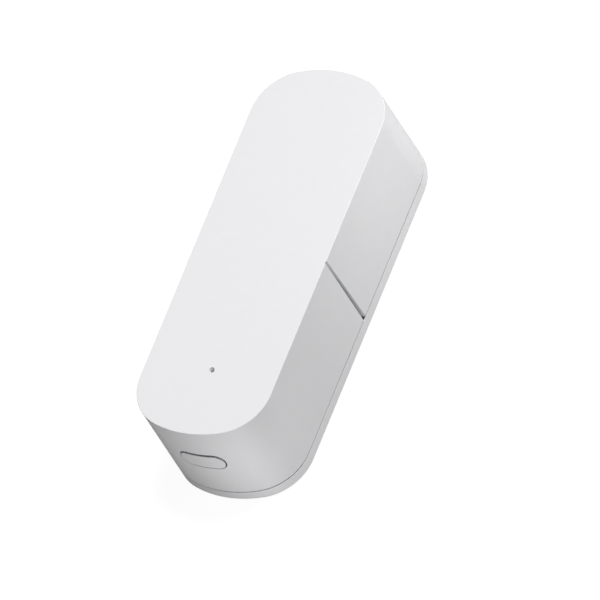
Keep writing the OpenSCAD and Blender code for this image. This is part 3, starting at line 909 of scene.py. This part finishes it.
def cell_sleeve(name, place):
    """Shrunk-on sleeve, folded over the rims of the can."""
    profile = [(cell_r - flat_fold, fold_sink)]
    profile += [(cell_r - inset, along) for inset, along in SLEEVE_FOLD]
    profile += [(cell_r - inset, can_l - along) for inset, along in reversed(SLEEVE_FOLD)]
    profile += [(cell_r - nub_fold, can_l - fold_sink)]
    return lathe(name, profile, place, CELL_STEPS)


def cell_terminals(name, place):
    """Steel disc in the flat end and the stepped cap with the nub."""
    cap = [(r, can_l + z) for r, z in CAP_STEP]
    cap += [(nub_r + out, can_l + up) for out, up in NUB_FOOT]
    cap += [(nub_r - inset, can_l + nub_h - down) for inset, down in NUB_TIP]
    return join(name, [lathe("flat", FLAT_END, place), lathe("cap", cap, place)])


for side, cell in ((-1, "battery_cell_a"), (1, "battery_cell_b")):
    start_y = far_y - can_l - nub_h if side < 0 else near_y + can_l + nub_h
    place = lying(side * cell_x, start_y, cell_z, -side)
    finish_piece(cell_sleeve(cell + "_sleeve", place), "housing", "cell_sleeve", cell)
    finish_piece(cell_terminals(cell + "_terminals", place), "housing", "contact_nickel")


# Springs

def contact_coil(name, place):
    """Cone spring that presses on a cell's flat end."""
    start = at(0, 0, coil_gap + coil_wire / 2)
    return coil(name, coil_base_r, coil_tip_r, coil_l, coil_turns, coil_wire, place @ start)


def whip_coil():
    """Vibration switch's spring, hanging from its root."""
    root = whip_high.z - whip_wire / 2
    rise = whip_high.z - whip_low.z - whip_wire
    place = at(sleeve_x, sleeve_y, root) @ Matrix.Rotation(math.pi, 4, "X")
    return coil("whip_coil", whip_r, whip_r, rise, whip_turns, whip_wire, place)


for name, spring, place in (("cone_spring_a", "contact_spring_a", lying(-cell_x, near_y, cell_z, 1)),
                            ("cone_spring_b", "contact_spring_b", lying(cell_x, far_y, cell_z, -1))):
    finish_piece(contact_coil(name, place), "housing", "contact_nickel", spring)
finish_piece(whip_coil(), "whip", "gold_wire", "vibration_spring")


# Vibration switch's cup and the chassis's screws

def sensor_cup():
    """Drawn metal cup, open at the top, with a rounded bottom edge and rim."""
    low, high = sleeve_low.z, sleeve_high.z
    r = (sleeve_high.x - sleeve_low.x) / 2
    inner = r - sleeve_t
    profile = [(inner - inset, low + sleeve_t + up) for inset, up in CUP_INSIDE]
    profile += [(inner, high - cup_rim), (inner + cup_rim, high), (r - cup_rim, high), (r, high - cup_rim)]
    profile += [(r - inset, low + up) for inset, up in CUP_OUTSIDE]
    return lathe("sensor_cup", profile, at(sleeve_x, sleeve_y, 0), CUP_STEPS)


def chassis_screw(x):
    """Pan-head screw with a cross recess, head down, and a coarse thread of separate ridges."""
    low, tip = screw_low.z, screw_high.z
    under = low + head_h
    profile = [(head_r - inset, low + up) for inset, up in HEAD_DOME]
    profile += [(head_r, under - head_edge), (head_r - head_edge, under), (root_r, under)]
    z = under + thread_start
    while z + thread_pitch < tip - tip_l:
        profile += [(root_r, z), (shank_r, z + thread_pitch / 4), (root_r, z + thread_pitch / 2)]
        z += thread_pitch
    profile += [(root_r, tip - tip_l), (root_r - tip_in, tip)]
    screw = lathe("screw", profile, at(x, screw_y, 0), SMALL_STEPS)
    for w, t in ((drive_w, drive_t), (drive_t, drive_w)):
        start = (x - w / 2, screw_y - t / 2, low - past)
        stop = (x + w / 2, screw_y + t / 2, low + drive_h)
        combine(screw, box("drive", start, stop), "DIFFERENCE")
    return screw


finish_piece(sensor_cup(), "housing", "sensor_can", "vibration_sleeve")
screws = join("pan_screws", [chassis_screw(side * screw_x) for side in (-1, 1)])
finish_piece(screws, "housing", "screw_steel", "chassis_screws")


# Floor, light and camera

# Half the floor's width in metres, the grey that it has for light, the shadowed and glowing parts of its
# white, and the grey of the light from all round
FLOOR_REACH = 3.0
FLOOR_GREY = 0.29
FLOOR_SHADOW = 0.13
FLOOR_GLOW = 0.94
WORLD_GREY = 0.1


def grey(level):
    """Opaque grey."""
    return (level, level, level, 1)


def show_white(nodes, links, lit, white, out):
    """White for camera, glossy and transmission rays, for a plain background, and lit for all others."""
    path = nodes.new("ShaderNodeLightPath")
    camera, glossy = path.outputs["Is Camera Ray"], path.outputs["Is Glossy Ray"]
    seen = blend_values(nodes, links, "MAXIMUM", camera, glossy)
    seen = blend_values(nodes, links, "MAXIMUM", seen, path.outputs["Is Transmission Ray"])
    mix = nodes.new("ShaderNodeMixShader")
    links.new(seen, mix.inputs[0])
    links.new(lit.outputs[0], mix.inputs[1])
    links.new(white.outputs[0], mix.inputs[2])
    links.new(mix.outputs[0], out.inputs["Surface"])


def white_floor():
    """Pale floor that looks white to the camera and keeps a faint shadow."""
    corners = [(-1, -1), (1, -1), (1, 1), (-1, 1)]
    mesh = bpy.data.meshes.new("floor")
    mesh.from_pydata([(x * FLOOR_REACH, y * FLOOR_REACH, 0) for x, y in corners], [], [(0, 1, 2, 3)])
    floor = make_object("floor", mesh)
    material = bpy.data.materials.new("floor")
    material.use_nodes = True
    nodes, links = material.node_tree.nodes, material.node_tree.links
    nodes.clear()
    diffuse = nodes.new("ShaderNodeBsdfDiffuse")
    diffuse.inputs["Color"].default_value = grey(FLOOR_GREY)
    faint = nodes.new("ShaderNodeBsdfDiffuse")
    faint.inputs["Color"].default_value = grey(FLOOR_SHADOW)
    glow = nodes.new("ShaderNodeEmission")
    glow.inputs["Strength"].default_value = FLOOR_GLOW
    white = nodes.new("ShaderNodeAddShader")
    links.new(glow.outputs[0], white.inputs[0])
    links.new(faint.outputs[0], white.inputs[1])
    show_white(nodes, links, diffuse, white, nodes.new("ShaderNodeOutputMaterial"))
    mesh.materials.append(material)


def studio_world():
    """Even grey light from all round, white to the camera."""
    world = bpy.data.worlds.new("studio")
    world.use_nodes = True
    bpy.context.scene.world = world
    nodes, links = world.node_tree.nodes, world.node_tree.links
    nodes.clear()
    dim = nodes.new("ShaderNodeBackground")
    dim.inputs["Color"].default_value = grey(WORLD_GREY)
    white = nodes.new("ShaderNodeBackground")
    white.inputs["Color"].default_value = grey(1)
    show_white(nodes, links, dim, white, nodes.new("ShaderNodeOutputWorld"))


def softbox(name, azimuth, elevation, distance, size, power, aim_y=0):
    """Square area lamp aimed at a place along the tag. Azimuth 0 is +X and 90 is +Y.
    Distance and size are in metres, aim_y in millimetres."""
    lamp = bpy.data.lights.new(name, "AREA")
    lamp.size = size
    lamp.energy = power
    obj = make_object(name, lamp)
    a, e = math.radians(azimuth), math.radians(elevation)
    away = Vector((math.cos(a) * math.cos(e), math.sin(a) * math.cos(e), math.sin(e)))
    obj.location = away * distance + Vector((0, aim_y, top_z / 2)) * MM
    obj.rotation_mode = "QUATERNION"
    obj.rotation_quaternion = away.to_track_quat("Z", "Y")
    obj.visible_camera = False


white_floor()
studio_world()
softbox("key", azimuth=60, elevation=69.5, distance=2.0, size=0.6, power=37.5)
softbox("back", azimuth=51.1, elevation=6.1, distance=0.0995, size=0.03, power=0.016, aim_y=-38.7)
softbox("side", azimuth=-76.2, elevation=-3, distance=0.1151, size=0.03, power=0.0155, aim_y=40.9)

# Orthographic camera at the photograph's angle: the way to it, its up direction, where it is aimed and the
# width that it sees, in millimetres, and its distance in metres
TO_CAMERA = Vector((0.4801, -0.4138, 0.7735)).normalized()
CAMERA_UP = Vector((-0.1238, 0.8410, 0.5267)).normalized()
AIM_RIGHT = -0.6375
AIM_UP = 2.784
VIEW_WIDTH = 99.77
CAMERA_DISTANCE = 0.5


def studio_camera():
    """Camera of the picture."""
    right = CAMERA_UP.cross(TO_CAMERA).normalized()
    up = TO_CAMERA.cross(right)
    aim = (Vector((0, 0, rim_z)) + right * AIM_RIGHT + up * AIM_UP) * MM
    data = bpy.data.cameras.new("camera")
    data.type = "ORTHO"
    data.ortho_scale = VIEW_WIDTH * MM
    obj = make_object("camera", data)
    turn = Matrix((right, up, TO_CAMERA)).transposed().to_4x4()
    obj.matrix_world = Matrix.Translation(aim + TO_CAMERA * CAMERA_DISTANCE) @ turn
    bpy.context.scene.camera = obj


studio_camera()
bpy.context.scene.view_settings.view_transform = "Standard"
